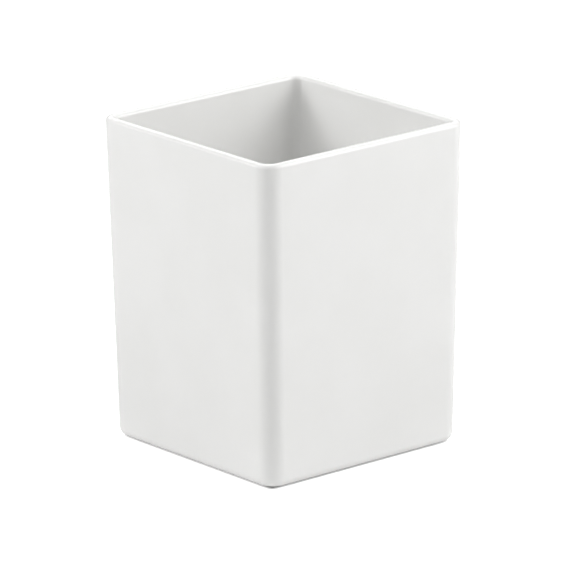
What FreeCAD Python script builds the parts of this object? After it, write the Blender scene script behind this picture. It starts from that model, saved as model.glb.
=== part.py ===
"""Square tapered pen cup: one moulded plastic shell standing on four round rubber feet.

Millimetres, +Z up. The origin is on the surface that the cup stands on, at the centre of the feet.
-Y is the front, -X the left.
"""

import FreeCAD, Part
import os

import Sketcher

SIZES = {
    # The cup as a whole.
    "overall_height": 102.0,
    "top_width": 80.0,
    "base_width": 76.0,
    "corner_radius": 6.0,
    "wall": 3.4,
    # Rounded edges of the shell.
    "base_edge_radius": 2.5,
    "floor_edge_radius": 2.0,
    "rim_outer_radius": 1.4,
    "rim_inner_radius": 1.4,
    # Rubber feet and the shallow pockets that they are stuck into.
    "foot_stand": 0.6,
    "foot_diameter": 10.0,
    "foot_edge_radius": 0.4,
    "foot_offset": 28.5,
    "pocket_depth": 0.5,
    "pocket_clearance": 0.2,
    # Injection gate under the floor: a dimple with the trimmed gate standing in it.
    "dimple_diameter": 9.0,
    "dimple_depth": 0.4,
    "gate_diameter": 1.8,
    "gate_height": 0.25,
}

FEET = {
    "foot_front_left": (-1, -1),
    "foot_front_right": (1, -1),
    "foot_rear_left": (-1, 1),
    "foot_rear_right": (1, 1),
}

# Half the size of geometry as first drawn, before the sheet sizes it.
DRAWN = 1.0

# NEAR is how close equal places are, and LOOSE how close a measured size or share is to the stated one.
NEAR = 1e-4
LOOSE = 0.02

doc = FreeCAD.newDocument("pen_cup")


def make_sheet(sizes):
    """Spreadsheet with one aliased cell for each driving dimension."""
    sheet = doc.addObject("Spreadsheet::Sheet", "Sizes")
    for row, (word, number) in enumerate(sizes.items(), start=1):
        sheet.set(f"A{row}", word)
        sheet.set(f"B{row}", str(number))
        sheet.setAlias(f"B{row}", word)
    doc.recompute()
    return sheet


def origin_feature(body, role):
    """Origin plane or axis of a body, found by its role."""
    return next(item for item in body.Origin.OriginFeatures if item.Role == role)


def make_body(name):
    body = doc.addObject("PartDesign::Body", name)
    body.Label = name
    return body


def make_sketch(body, name):
    """Empty sketch on the body's own XY plane."""
    sketch = body.newObject("Sketcher::SketchObject", name)
    sketch.AttachmentSupport = [(origin_feature(body, "XY_Plane"), "")]
    sketch.MapMode = "FlatFace"
    return sketch


def draw_centred_square(sketch, width):
    """Square centred on the sketch origin. width is an expression."""
    turns = ((-1, -1), (1, -1), (1, 1), (-1, 1))
    corners = [FreeCAD.Vector(x * DRAWN, y * DRAWN, 0) for x, y in turns]
    for side in range(4):
        sketch.addGeometry(Part.LineSegment(corners[side], corners[(side + 1) % 4]))
    for side in range(4):
        sketch.addConstraint(Sketcher.Constraint("Coincident", side, 2, (side + 1) % 4, 1))
        sketch.addConstraint(Sketcher.Constraint("Vertical" if side % 2 else "Horizontal", side))
    sketch.addConstraint(Sketcher.Constraint("Symmetric", 0, 1, 2, 1, -1, 1))
    sketch.addConstraint(Sketcher.Constraint("Equal", 0, 1))
    number = sketch.addConstraint(Sketcher.Constraint("DistanceX", 0, 1, 0, 2, 2 * DRAWN))
    sketch.renameConstraint(number, "width")
    sketch.setExpression("Constraints.width", width)


def draw_circle(sketch, diameter, offset=None):
    """Circle at the sketch origin, or at (offset, offset). Both are expressions."""
    centre = FreeCAD.Vector(0, 0, 0) if offset is None else FreeCAD.Vector(DRAWN, DRAWN, 0)
    circle = sketch.addGeometry(Part.Circle(centre, FreeCAD.Vector(0, 0, 1), DRAWN))
    number = sketch.addConstraint(Sketcher.Constraint("Diameter", circle, 2 * DRAWN))
    sketch.renameConstraint(number, "diameter")
    sketch.setExpression("Constraints.diameter", diameter)
    if offset is None:
        sketch.addConstraint(Sketcher.Constraint("Coincident", circle, 3, -1, 1))
        return
    for kind, word in (("DistanceX", "across"), ("DistanceY", "along")):
        number = sketch.addConstraint(Sketcher.Constraint(kind, -1, 1, circle, 3, DRAWN))
        sketch.renameConstraint(number, word)
        sketch.setExpression(f"Constraints.{word}", offset)


def add_pad(body, sketch, name, length):
    pad = body.newObject("PartDesign::Pad", name)
    pad.Profile = sketch
    pad.setExpression("Length", length)
    doc.recompute()
    return pad


def add_pocket_upward(body, sketch, name, depth):
    """Pocket that cuts from the XY plane up into the solid, with the cut volume checked."""
    before = body.Shape.Volume
    pocket = body.newObject("PartDesign::Pocket", name)
    pocket.Profile = sketch
    pocket.Reversed = True
    pocket.setExpression("Length", depth)
    doc.recompute()
    if not body.Shape.Volume < before - NEAR:
        raise RuntimeError(f"{name} cuts nothing")
    return pocket


def add_fillet(body, base, name, edges, radius):
    fillet = body.newObject("PartDesign::Fillet", name)
    fillet.Base = (base, edges)
    fillet.setExpression("Radius", radius)
    doc.recompute()
    return fillet


def edges_where(shape, wanted):
    """Names of the edges whose bounding box passes the test."""
    return [
        f"Edge{number}"
        for number, edge in enumerate(shape.Edges, start=1)
        if wanted(edge.BoundBox)
    ]


def level_edges(shape, height, nearest_axis, farthest_axis):
    """Names of the level edges at a height that lie wholly between two distances from the Z axis."""

    def wanted(edge):
        level = abs(edge.ZMin - height) < NEAR and abs(edge.ZMax - height) < NEAR
        reach = max(abs(edge.XMin), abs(edge.XMax), abs(edge.YMin), abs(edge.YMax))
        return level and nearest_axis < reach < farthest_axis

    return edges_where(shape, wanted)


def upright_faces(shape, height):
    """Names of the faces that run the full height."""
    return [
        f"Face{number}"
        for number, face in enumerate(shape.Faces, start=1)
        if abs(face.BoundBox.ZLength - height) < NEAR
    ]


def level_face(shape, height):
    """Name of the largest flat, level face at a height."""
    faces = [
        (face.Area, f"Face{number}")
        for number, face in enumerate(shape.Faces, start=1)
        if abs(face.BoundBox.ZMin - height) < NEAR and abs(face.BoundBox.ZMax - height) < NEAR
    ]
    return max(faces)[1]


def make_cup_body(sheet):
    """Drafted square shell with rounded corners, rim and base edge, and pockets under its floor."""
    body = make_body("cup_body")
    height = sheet.overall_height - sheet.foot_stand

    outline = make_sketch(body, "outline")
    draw_centred_square(outline, "Sizes.base_width")
    rise = "(Sizes.overall_height - Sizes.foot_stand)"
    block = add_pad(body, outline, "block", rise)

    drafted = body.newObject("PartDesign::Draft", "drafted")
    drafted.Base = (block, upright_faces(block.Shape, height))
    drafted.NeutralPlane = (origin_feature(body, "XY_Plane"), [""])
    drafted.Reversed = True
    drafted.setExpression("Angle", f"atan((Sizes.top_width - Sizes.base_width) / 2 / {rise})")
    doc.recompute()

    upright = edges_where(drafted.Shape, lambda edge: edge.ZLength > height / 2)
    corners = add_fillet(body, drafted, "corners", upright, "Sizes.corner_radius")

    shell = body.newObject("PartDesign::Thickness", "shell")
    shell.Base = (corners, [level_face(corners.Shape, height)])
    shell.Reversed = True
    shell.Join = "Intersection"
    shell.setExpression("Value", "Sizes.wall")
    doc.recompute()

    inside_top = sheet.top_width / 2 - sheet.wall / 2
    rounded = (
        ("base_edge", 0.0, 0.0, sheet.base_width, "Sizes.base_edge_radius"),
        ("floor_edge", sheet.wall, 0.0, sheet.base_width, "Sizes.floor_edge_radius"),
        ("rim_outer", height, inside_top, sheet.top_width, "Sizes.rim_outer_radius"),
        ("rim_inner", height, 0.0, inside_top, "Sizes.rim_inner_radius"),
    )
    last = shell
    for name, level, nearest, farthest, radius in rounded:
        last = add_fillet(body, last, name, level_edges(last.Shape, level, nearest, farthest), radius)

    pocket_outline = make_sketch(body, "pocket_outline")
    draw_circle(
        pocket_outline,
        "Sizes.foot_diameter + 2 * Sizes.pocket_clearance",
        offset="Sizes.foot_offset",
    )
    pocket = add_pocket_upward(body, pocket_outline, "foot_pocket", "Sizes.pocket_depth")
    one_pocket = last.Shape.Volume - body.Shape.Volume
    pockets = body.newObject("PartDesign::PolarPattern", "foot_pockets")
    pockets.Originals = [pocket]
    pockets.Axis = (origin_feature(body, "Z_Axis"), [""])
    pockets.Angle = 360.0
    pockets.Occurrences = len(FEET)
    body.Tip = pockets
    doc.recompute()
    if abs((last.Shape.Volume - body.Shape.Volume) / one_pocket - len(FEET)) > LOOSE:
        raise RuntimeError("foot_pockets doesn't cut one pocket for each foot")

    dimple_outline = make_sketch(body, "dimple_outline")
    draw_circle(dimple_outline, "Sizes.dimple_diameter")
    add_pocket_upward(body, dimple_outline, "gate_dimple", "Sizes.dimple_depth")

    gate_outline = make_sketch(body, "gate_outline")
    gate_outline.setExpression(
        "AttachmentOffset.Base.z", "Sizes.dimple_depth - Sizes.gate_height"
    )
    draw_circle(gate_outline, "Sizes.gate_diameter")
    add_pad(body, gate_outline, "gate", "Sizes.gate_height")

    body.setExpression("Placement.Base.z", "Sizes.foot_stand")
    return body


def make_foot(sheet, name, side_x, side_y):
    """Round rubber disc with its lower edge rounded, reaching up to the top of its pocket."""
    body = make_body(name)
    outline = make_sketch(body, f"{name}_outline")
    draw_circle(outline, "Sizes.foot_diameter")
    disc = add_pad(body, outline, f"{name}_disc", "Sizes.foot_stand + Sizes.pocket_depth")
    lower = level_edges(disc.Shape, 0.0, 0.0, sheet.foot_diameter)
    add_fillet(body, disc, f"{name}_edge", lower, "Sizes.foot_edge_radius")
    body.setExpression("Placement.Base.x", f"{side_x} * Sizes.foot_offset")
    body.setExpression("Placement.Base.y", f"{side_y} * Sizes.foot_offset")
    return body


def check_document(bodies):
    """Stops on any failed object and on any sub-part that isn't one valid solid."""
    for item in doc.Objects:
        if {"Invalid", "Error"} & set(item.State):
            raise RuntimeError(f"{item.Name}: {item.State}")
    for body in bodies:
        shape = body.Shape
        if shape.isNull() or not shape.isValid() or len(shape.Solids) != 1:
            raise RuntimeError(f"{body.Label} isn't one valid solid")


def check_size(bodies, sheet):
    """The assembly stands on z = 0 and has the stated height and width."""
    box = FreeCAD.BoundBox()
    for body in bodies:
        box.add(body.Shape.optimalBoundingBox(False))
    # The rounded rim takes the top of the drafted walls, so the widest point is a little lower down.
    draft = (sheet.top_width - sheet.base_width) / 2 / (sheet.overall_height - sheet.foot_stand)
    widest = sheet.top_width - 2 * draft * sheet.rim_outer_radius
    wanted = (widest, widest, sheet.overall_height)
    for found, length in zip((box.XLength, box.YLength, box.ZLength), wanted):
        if abs(found - length) > LOOSE:
            raise RuntimeError(f"size {found:.3f} isn't {length:.3f}")
    if abs(box.ZMin) > LOOSE:
        raise RuntimeError("the feet don't stand on z = 0")


def write_parts(bodies):
    os.makedirs("parts", exist_ok=True)
    for body in bodies:
        body.Shape.exportStep(os.path.join("parts", f"{body.Label}.step"))
        box = body.Shape.optimalBoundingBox(False)
        print(
            f"{body.Label}: {body.Shape.Volume:.1f} mm3, "
            f"{box.XLength:.2f} x {box.YLength:.2f} x {box.ZLength:.2f} mm"
        )


def main():
    sheet = make_sheet(SIZES)
    bodies = [make_cup_body(sheet)]
    for name, (side_x, side_y) in FEET.items():
        bodies.append(make_foot(sheet, name, side_x, side_y))
    doc.recompute()
    check_document(bodies)
    check_size(bodies, sheet)
    write_parts(bodies)


main()
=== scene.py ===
"""Looks of the square pen cup: fine meshes for the shell and its feet, their materials, and a small studio.

Metres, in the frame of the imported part: +Z up, -Y the front, the origin on the surface it stands on.
"""

import math

import bmesh
import bpy
from mathutils import Matrix, Vector


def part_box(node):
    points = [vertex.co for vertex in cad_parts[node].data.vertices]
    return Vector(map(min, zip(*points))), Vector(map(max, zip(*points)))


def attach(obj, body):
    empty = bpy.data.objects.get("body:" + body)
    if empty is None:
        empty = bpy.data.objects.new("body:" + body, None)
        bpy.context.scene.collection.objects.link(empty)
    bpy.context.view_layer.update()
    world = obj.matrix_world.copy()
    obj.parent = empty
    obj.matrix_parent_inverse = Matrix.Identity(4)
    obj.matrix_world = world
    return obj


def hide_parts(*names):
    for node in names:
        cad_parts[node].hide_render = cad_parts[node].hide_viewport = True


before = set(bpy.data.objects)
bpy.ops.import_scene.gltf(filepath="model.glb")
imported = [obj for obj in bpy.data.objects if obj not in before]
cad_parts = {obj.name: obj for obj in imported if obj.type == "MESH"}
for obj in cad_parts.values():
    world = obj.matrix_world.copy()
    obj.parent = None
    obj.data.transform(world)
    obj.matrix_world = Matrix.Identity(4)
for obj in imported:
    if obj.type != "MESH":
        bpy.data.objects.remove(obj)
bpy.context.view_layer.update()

MM = 0.001

# The shell, as the design has it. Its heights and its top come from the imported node.
shell_low, shell_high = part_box("cup_body")
BASE_Z = shell_low.z
RIM_Z = shell_high.z
BASE_HALF = 38.0 * MM
TOP_HALF = 40.0 * MM
CORNER = 6.0 * MM
WALL = 3.4 * MM
BASE_EDGE = 2.5 * MM
FLOOR_EDGE = 2.0 * MM
RIM_OUTER = 1.4 * MM
RIM_INNER = 1.4 * MM
POCKET_RADIUS = 5.2 * MM
POCKET_DEPTH = 0.5 * MM
DIMPLE_RADIUS = 4.5 * MM
DIMPLE_DEPTH = 0.4 * MM
GATE_RADIUS = 0.9 * MM
GATE_HEIGHT = 0.25 * MM
GATE_TIP = 0.85  # radius of its tip against its root
GATE_SHOULDER = 0.8  # height of its straight side against the whole
MOUTH_EDGE = 0.1 * MM

FEET = ("foot_front_left", "foot_front_right", "foot_rear_left", "foot_rear_right")
FOOT_EDGE = 0.4 * MM
FOOT_DISH_RADIUS = 3.4 * MM
FOOT_DISH_DEPTH = 0.12 * MM

# How finely the meshes are divided.
CORNER_STEPS = 14
SIDE_STEPS = 10
WALL_STEPS = 12
EDGE_STEPS = 8
CIRCLE_STEPS = 64

SHARP_ANGLE = math.radians(40)

# How deep the surface detail is.
PEEL_DEPTH = 0.006 * MM
GROOVE_DEPTH = 0.002 * MM
GRAIN_DEPTH = 0.03 * MM


# ---------------------------------------------------------------- meshes


def half_width(z):
    """Half the outer width of the drafted walls at a height."""
    return BASE_HALF + (TOP_HALF - BASE_HALF) * (z - BASE_Z) / (RIM_Z - BASE_Z)


def square_ring(bm, inset, z):
    """Rounded square that lies inset from the outer wall at a height, with concentric corners."""
    straight = half_width(z) - CORNER
    radius = CORNER - inset
    points = []
    for corner in range(4):
        start = corner * math.pi / 2
        turn = Matrix.Rotation(start, 3, "Z")
        for step in range(CORNER_STEPS + 1):
            angle = step / CORNER_STEPS * math.pi / 2
            arc = Vector((math.cos(angle), math.sin(angle), 0)) * radius
            points.append(turn @ (Vector((straight, straight, 0)) + arc))
        side_start = turn @ Vector((straight, straight + radius, 0))
        side_end = turn @ Vector((-straight, straight + radius, 0))
        for step in range(1, SIDE_STEPS):
            points.append(side_start.lerp(side_end, step / SIDE_STEPS))
    return [bm.verts.new((p.x, p.y, z)) for p in points]


def round_ring(bm, centre, radius, z):
    angles = [step / CIRCLE_STEPS * math.tau for step in range(CIRCLE_STEPS)]
    return [
        bm.verts.new((centre.x + radius * math.cos(a), centre.y + radius * math.sin(a), z))
        for a in angles
    ]


def bridge(bm, first, second):
    """Band of quads between two rings of the same number of points."""
    count = len(first)
    for i in range(count):
        j = (i + 1) % count
        bm.faces.new((first[i], first[j], second[j], second[i]))


def chain(bm, rings):
    for first, second in zip(rings, rings[1:]):
        bridge(bm, first, second)


def cap(bm, ring, height):
    """Closes a round ring with a fan to its centre at a height."""
    middle = sum((v.co for v in ring), Vector()) / len(ring)
    centre = bm.verts.new((middle.x, middle.y, height))
    for i, vert in enumerate(ring):
        bm.faces.new((vert, ring[(i + 1) % len(ring)], centre))


def edges_of(ring):
    """The mesh edges that join a ring's points in turn."""
    found = []
    for i, vert in enumerate(ring):
        following = ring[(i + 1) % len(ring)]
        found.append(next(e for e in vert.link_edges if e.other_vert(vert) is following))
    return found


def quarter(steps):
    """Angles of a quarter turn, ends included."""
    return [step / steps * math.pi / 2 for step in range(steps + 1)]


def shell_profile():
    """(inset, height) from the underside round the base edge, up the wall, over the rim and down inside."""
    profile = []
    for angle in quarter(EDGE_STEPS):
        profile.append((BASE_EDGE * (1 - math.sin(angle)), BASE_Z + BASE_EDGE * (1 - math.cos(angle))))
    low, high = BASE_Z + BASE_EDGE, RIM_Z - RIM_OUTER
    profile += [(0, low + (high - low) * step / WALL_STEPS) for step in range(1, WALL_STEPS)]
    for angle in quarter(EDGE_STEPS):
        profile.append((RIM_OUTER * (1 - math.cos(angle)), high + RIM_OUTER * math.sin(angle)))
    for angle in quarter(EDGE_STEPS):
        inset = WALL - RIM_INNER * (1 - math.sin(angle))
        profile.append((inset, RIM_Z - RIM_INNER * (1 - math.cos(angle))))
    low, high = BASE_Z + WALL + FLOOR_EDGE, RIM_Z - RIM_INNER
    profile += [(WALL, high - (high - low) * step / WALL_STEPS) for step in range(1, WALL_STEPS)]
    for angle in quarter(EDGE_STEPS):
        inset = WALL + FLOOR_EDGE * (1 - math.cos(angle))
        profile.append((inset, BASE_Z + WALL + FLOOR_EDGE * (1 - math.sin(angle))))
    return profile


def recess_rings(bm, centre, radius, depth):
    """Rings of a round recess in the underside, from its softened mouth to its ceiling."""
    rings = []
    for angle in quarter(3):
        out = MOUTH_EDGE * (1 - math.sin(angle))
        rings.append(round_ring(bm, centre, radius + out, BASE_Z + MOUTH_EDGE * (1 - math.cos(angle))))
    rings.append(round_ring(bm, centre, radius, BASE_Z + depth))
    return rings


def new_piece(name, bm):
    """Object from a bmesh, smooth except at its sharp edges, with normals led by the larger faces."""
    bmesh.ops.remove_doubles(bm, verts=bm.verts, dist=1e-7)
    bmesh.ops.recalc_face_normals(bm, faces=bm.faces)
    for face in bm.faces:
        face.smooth = True
    for edge in bm.edges:
        edge.smooth = edge.is_manifold and edge.calc_face_angle() < SHARP_ANGLE
    mesh = bpy.data.meshes.new(name)
    bm.to_mesh(mesh)
    bm.free()
    piece = bpy.data.objects.new(name, mesh)
    bpy.context.scene.collection.objects.link(piece)
    normals = piece.modifiers.new("normals", "WEIGHTED_NORMAL")
    normals.keep_sharp = True
    normals.weight = 100
    return piece


def make_shell():
    """The moulded shell, with the foot pockets and the gate dimple under its floor."""
    bm = bmesh.new()
    rings = [square_ring(bm, inset, z) for inset, z in shell_profile()]
    chain(bm, rings)
    bmesh.ops.triangle_fill(bm, edges=edges_of(rings[-1]), use_beauty=True)

    borders = edges_of(rings[0])
    for foot in FEET:
        low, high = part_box(foot)
        pocket = recess_rings(bm, (low + high) / 2, POCKET_RADIUS, POCKET_DEPTH)
        chain(bm, pocket)
        cap(bm, pocket[-1], BASE_Z + POCKET_DEPTH)
        borders += edges_of(pocket[0])

    centre = Vector((0, 0, 0))
    dimple = recess_rings(bm, centre, DIMPLE_RADIUS, DIMPLE_DEPTH)
    root = BASE_Z + DIMPLE_DEPTH
    dimple.append(round_ring(bm, centre, GATE_RADIUS, root))
    dimple.append(round_ring(bm, centre, GATE_RADIUS * GATE_TIP, root - GATE_HEIGHT * GATE_SHOULDER))
    chain(bm, dimple)
    cap(bm, dimple[-1], root - GATE_HEIGHT)
    borders += edges_of(dimple[0])

    bmesh.ops.triangle_fill(bm, edges=borders, use_beauty=True)
    return new_piece("cup_shell", bm)


def make_foot(node):
    """Round rubber foot: rounded lower edge and a shallow dish in the face that grips."""
    low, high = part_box(node)
    centre = (low + high) / 2
    radius = (high.x - low.x) / 2
    bm = bmesh.new()
    rings = [
        round_ring(bm, centre, FOOT_DISH_RADIUS * share, low.z + FOOT_DISH_DEPTH * (1 - share**4))
        for share in (0.25, 0.5, 0.75, 0.9, 1.0)
    ]
    for angle in quarter(EDGE_STEPS):
        out = radius - FOOT_EDGE * (1 - math.sin(angle))
        rings.append(round_ring(bm, centre, out, low.z + FOOT_EDGE * (1 - math.cos(angle))))
    rings.append(round_ring(bm, centre, radius, high.z))
    chain(bm, rings)
    cap(bm, rings[0], low.z + FOOT_DISH_DEPTH)
    cap(bm, rings[-1], high.z)
    return new_piece(node.replace("foot", "rubber_foot"), bm)


# ---------------------------------------------------------------- materials


class Nodes:
    """A material's node tree, with short calls to add and join its nodes."""

    def __init__(self, name):
        self.material = bpy.data.materials.new(name)
        self.material.use_nodes = True
        self.tree = self.material.node_tree
        self.shader = self.tree.nodes["Principled BSDF"]
        self.place = self.add("ShaderNodeTexCoord").outputs["Object"]

    def add(self, kind, **settings):
        node = self.tree.nodes.new(kind)
        for key, value in settings.items():
            setattr(node, key, value)
        return node

    def join(self, source, target):
        self.tree.links.new(source, target)

    def stretched(self, scale, turn=(0, 0, 0)):
        """The place, turned and then stretched."""
        node = self.add("ShaderNodeMapping")
        node.inputs["Rotation"].default_value = [math.radians(a) for a in turn]
        node.inputs["Scale"].default_value = scale
        self.join(self.place, node.inputs["Vector"])
        return node.outputs["Vector"]

    def noise(self, scale, detail=2.0, roughness=0.5, where=None):
        """Noise from 0 to 1 whose features are about 1/scale metres across."""
        node = self.add("ShaderNodeTexNoise")
        node.inputs["Scale"].default_value = scale
        node.inputs["Detail"].default_value = detail
        node.inputs["Roughness"].default_value = roughness
        self.join(where or self.place, node.inputs["Vector"])
        return node.outputs["Fac"]

    def spread(self, value, low, high, to_low=0.0, to_high=1.0):
        """value's range low to high becomes to_low to to_high, clamped and smooth."""
        node = self.add("ShaderNodeMapRange", interpolation_type="SMOOTHSTEP")
        for key, number in (
            ("From Min", low),
            ("From Max", high),
            ("To Min", to_low),
            ("To Max", to_high),
        ):
            node.inputs[key].default_value = number
        self.join(value, node.inputs["Value"])
        return node.outputs["Result"]

    def maths(self, operation, first, second=0.0):
        node = self.add("ShaderNodeMath", operation=operation)
        for socket, value in zip(node.inputs, (first, second)):
            if isinstance(value, (int, float)):
                socket.default_value = value
            else:
                self.join(value, socket)
        return node.outputs["Value"]

    def mix(self, share, first, second):
        """Colour between two, each a colour or a socket."""
        node = self.add("ShaderNodeMix", data_type="RGBA")
        self.join(share, node.inputs["Factor"])
        for key, value in (("A", first), ("B", second)):
            socket = next(s for s in node.inputs if s.name == key and s.type == "RGBA")
            if isinstance(value, tuple):
                socket.default_value = (*value, 1.0)
            else:
                self.join(value, socket)
        return next(s for s in node.outputs if s.type == "RGBA")

    def bump(self, height, distance, strength=1.0, under=None):
        """Bump of a height from 0 to 1 that is distance metres deep, over another bump."""
        node = self.add("ShaderNodeBump")
        node.inputs["Strength"].default_value = strength
        node.inputs["Distance"].default_value = distance
        self.join(height, node.inputs["Height"])
        if under is not None:
            self.join(under, node.inputs["Normal"])
        return node.outputs["Normal"]

    def axes(self):
        """X, Y and Z of the place."""
        node = self.add("ShaderNodeSeparateXYZ")
        self.join(self.place, node.inputs["Vector"])
        return node.outputs["X"], node.outputs["Y"], node.outputs["Z"]


def make_cup_plastic():
    """White moulded gloss plastic: faint mottling, orange peel, hairline scratches, duller worn edges."""
    n = Nodes("cup_plastic")
    x, y, z = n.axes()
    rim = n.spread(z, RIM_Z - RIM_OUTER, RIM_Z, 0, 0.4)
    base = n.spread(z, BASE_Z + BASE_EDGE, BASE_Z)
    at_corner = n.maths("MINIMUM", n.maths("ABSOLUTE", x), n.maths("ABSOLUTE", y))
    corner = n.spread(at_corner, BASE_HALF - CORNER, BASE_HALF - CORNER / 4, 0, 0.25)
    edge = n.maths("MAXIMUM", n.maths("MAXIMUM", rim, base), corner)
    worn = n.maths("MULTIPLY", edge, n.spread(n.noise(160, detail=4), 0.42, 0.68))

    mottle = n.spread(n.noise(38, detail=3), 0.35, 0.65)
    colour = n.mix(mottle, (0.868, 0.867, 0.856), (0.852, 0.851, 0.838))
    colour = n.mix(n.maths("MULTIPLY", worn, 0.5), colour, (0.825, 0.822, 0.803))

    hairs = []
    for turn, stretch in (((0, 12, 31), (1800, 60, 60)), ((0, -24, 77), (60, 60, 1500))):
        streaks = n.noise(1.0, detail=1, where=n.stretched(stretch, turn))
        hairs.append(n.spread(streaks, 0.68, 0.74))
    patchy = n.spread(n.noise(55, detail=2), 0.48, 0.62)
    hair = n.maths("MULTIPLY", n.maths("MAXIMUM", *hairs), patchy)

    rough = n.spread(n.noise(22, detail=4, roughness=0.6), 0.35, 0.7, 0.13, 0.19)
    rough = n.maths("ADD", rough, n.maths("MULTIPLY", hair, 0.06))
    rough = n.maths("ADD", rough, n.maths("MULTIPLY", worn, 0.12))

    peel = n.bump(n.noise(750, detail=2), PEEL_DEPTH, 0.5)
    grooves = n.bump(hair, GROOVE_DEPTH, 0.5, under=peel)

    n.join(colour, n.shader.inputs["Base Color"])
    n.join(rough, n.shader.inputs["Roughness"])
    n.join(grooves, n.shader.inputs["Normal"])
    n.shader.inputs["IOR"].default_value = 1.53
    return n.material


def make_foot_rubber():
    """Grey moulded rubber: fine grain, mottling, and a paler scuffed face where it grips."""
    n = Nodes("foot_rubber")
    grain = n.noise(2600, detail=4, roughness=0.65)
    mottle = n.spread(n.noise(420, detail=3), 0.3, 0.7)
    colour = n.mix(mottle, (0.105, 0.108, 0.104), (0.135, 0.138, 0.133))
    grip = n.spread(n.axes()[2], 0.25 * MM, 0.0)
    scuff = n.maths("MULTIPLY", grip, n.spread(n.noise(900, detail=5, roughness=0.7), 0.42, 0.68))
    colour = n.mix(scuff, colour, (0.26, 0.26, 0.25))
    rough = n.maths("ADD", n.spread(grain, 0.3, 0.7, 0.58, 0.74), n.maths("MULTIPLY", scuff, 0.12))
    n.join(colour, n.shader.inputs["Base Color"])
    n.join(rough, n.shader.inputs["Roughness"])
    n.join(n.bump(grain, GRAIN_DEPTH, 0.6), n.shader.inputs["Normal"])
    n.shader.inputs["IOR"].default_value = 1.5
    return n.material


def make_floor_paint():
    """Plain pale floor, whitened where the camera sees it, as a product shot's background is.

    The whitening doesn't light the cup. A faint glow round the cup does, and fills the cup's own shade. The
    floor under the cup has neither.
    """
    n = Nodes("floor_white")
    x, y, _ = n.axes()
    out = n.maths("MAXIMUM", n.maths("ABSOLUTE", x), n.maths("ABSOLUTE", y))
    clear = n.spread(out, *UNDER_RANGE)
    ring = n.spread(out, BASE_HALF + RING_WIDTH, BASE_HALF, 0, RING_GLOW)
    seen = n.add("ShaderNodeLightPath").outputs["Is Camera Ray"]
    whitening = n.maths("MULTIPLY", seen, WHITE_LIFT)
    n.join(n.maths("MULTIPLY", n.maths("ADD", ring, whitening), clear), n.shader.inputs["Emission Strength"])
    n.shader.inputs["Emission Color"].default_value = (1.0, 1.0, 1.0, 1.0)
    n.shader.inputs["Base Color"].default_value = (FLOOR_WHITE, FLOOR_WHITE, FLOOR_WHITE, 1.0)
    n.shader.inputs["Roughness"].default_value = 0.9
    n.shader.inputs["Specular IOR Level"].default_value = 0.1
    return n.material


# ---------------------------------------------------------------- studio

# The floor: half its side, its albedo, what the camera adds to it, and the glow round the cup.
FLOOR_HALF = 6.0
FLOOR_WHITE = 0.75
WHITE_LIFT = 0.48
RING_GLOW = 0.15
RING_WIDTH = 25 * MM
UNDER_RANGE = (BASE_HALF - 4 * MM, BASE_HALF - 1.4 * MM)
WORLD_LIGHT = 0.02

# Soft boxes: name, azimuth and elevation from the cup in degrees, side in metres, power in watts.
BOX_DISTANCE = 1.3
SOFT_BOXES = (
    ("right", 50, 38, 0.65, 5.0),
    ("right_low", 50, 20, 0.65, 4.5),
    ("front", 20, 38, 0.65, 4.0),
    ("near", -40, 38, 0.65, 0.5),
    ("near_left_low", -70, 20, 0.65, 2.0),
    ("left_wide", -100, 40, 1.3, 4.0),
    ("back_left", -130, 38, 0.65, 6.0),
    ("back_left_low", -130, 20, 0.65, 1.5),
    ("back", 140, 45, 1.6, 10.0),
    ("top", 0, 90, 1.0, 2.0),
)

# The photograph's camera, solved from the cup's outline, rim and base line.
VIEW_AZIMUTH = -40.0
VIEW_ELEVATION = 16.64
VIEW_ROLL = -0.52
VIEW_DISTANCE = 1.946
LENS = 400.0
SENSOR = 36.0
AIM_RIGHT = 0.64 * MM
AIM_DOWN = 2.22 * MM


def direction(azimuth, elevation):
    """Unit vector from the object towards an azimuth and elevation. Azimuth 0 is -Y, 90 is +X."""
    a, e = math.radians(azimuth), math.radians(elevation)
    return Vector((math.sin(a) * math.cos(e), -math.cos(a) * math.cos(e), math.sin(e)))


def make_floor():
    bm = bmesh.new()
    bmesh.ops.create_grid(bm, x_segments=1, y_segments=1, size=FLOOR_HALF)
    mesh = bpy.data.meshes.new("floor")
    bm.to_mesh(mesh)
    bm.free()
    floor = bpy.data.objects.new("floor", mesh)
    bpy.context.scene.collection.objects.link(floor)
    mesh.materials.append(make_floor_paint())


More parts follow.
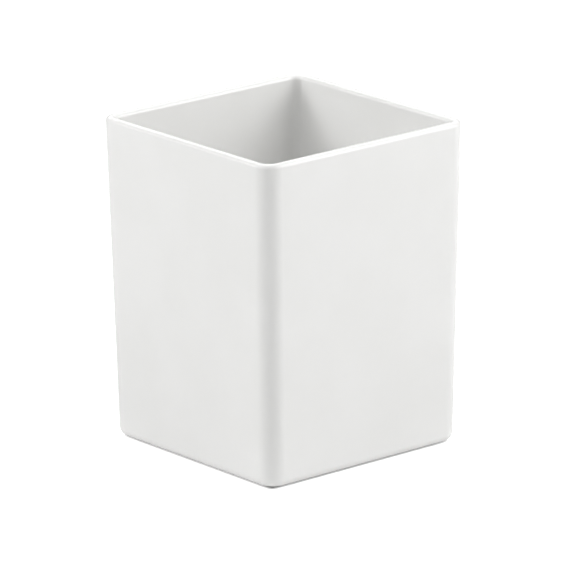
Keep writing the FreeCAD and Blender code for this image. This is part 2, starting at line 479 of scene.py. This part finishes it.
def make_soft_box(name, azimuth, elevation, side, power):
    """Square light aimed at the middle of the cup. It lights the scene without being seen itself."""
    lamp = bpy.data.lights.new(name, "AREA")
    lamp.size = side
    lamp.energy = power
    light = bpy.data.objects.new(name, lamp)
    back = direction(azimuth, elevation)
    light.location = (shell_low + shell_high) / 2 + back * BOX_DISTANCE
    light.rotation_euler = back.to_track_quat("Z", "Y").to_euler()
    light.visible_camera = False
    bpy.context.scene.collection.objects.link(light)


def make_world():
    world = bpy.data.worlds.new("studio")
    world.use_nodes = True
    background = world.node_tree.nodes["Background"]
    background.inputs["Color"].default_value = (1.0, 1.0, 1.0, 1.0)
    background.inputs["Strength"].default_value = WORLD_LIGHT
    bpy.context.scene.world = world


def make_camera():
    """Long lens, aimed a little right of and below the middle of the object."""
    lens = bpy.data.cameras.new("camera")
    lens.lens = LENS
    lens.sensor_width = SENSOR
    lens.clip_start = 0.05
    lens.clip_end = 50.0
    camera = bpy.data.objects.new("camera", lens)
    back = direction(VIEW_AZIMUTH, VIEW_ELEVATION)
    across = Vector((math.cos(math.radians(VIEW_AZIMUTH)), math.sin(math.radians(VIEW_AZIMUTH)), 0))
    up = back.cross(across)
    roll = math.radians(VIEW_ROLL)
    right = across * math.cos(roll) + up * math.sin(roll)
    upward = up * math.cos(roll) - across * math.sin(roll)
    middle = Vector((0, 0, RIM_Z / 2))
    camera.matrix_world = Matrix.Translation(
        middle + right * AIM_RIGHT - upward * AIM_DOWN + back * VIEW_DISTANCE
    ) @ Matrix((right, upward, back)).transposed().to_4x4()
    bpy.context.scene.collection.objects.link(camera)
    bpy.context.scene.camera = camera


# ---------------------------------------------------------------- assembly

cup_plastic = make_cup_plastic()
foot_rubber = make_foot_rubber()

shell = make_shell()
shell.data.materials.append(cup_plastic)
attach(shell, "root")
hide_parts("cup_body")

for node in FEET:
    foot = make_foot(node)
    foot.data.materials.append(foot_rubber)
    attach(foot, "root")
    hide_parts(node)

make_floor()
for soft_box in SOFT_BOXES:
    make_soft_box(*soft_box)
make_world()
make_camera()
bpy.context.scene.view_settings.view_transform = "Standard"
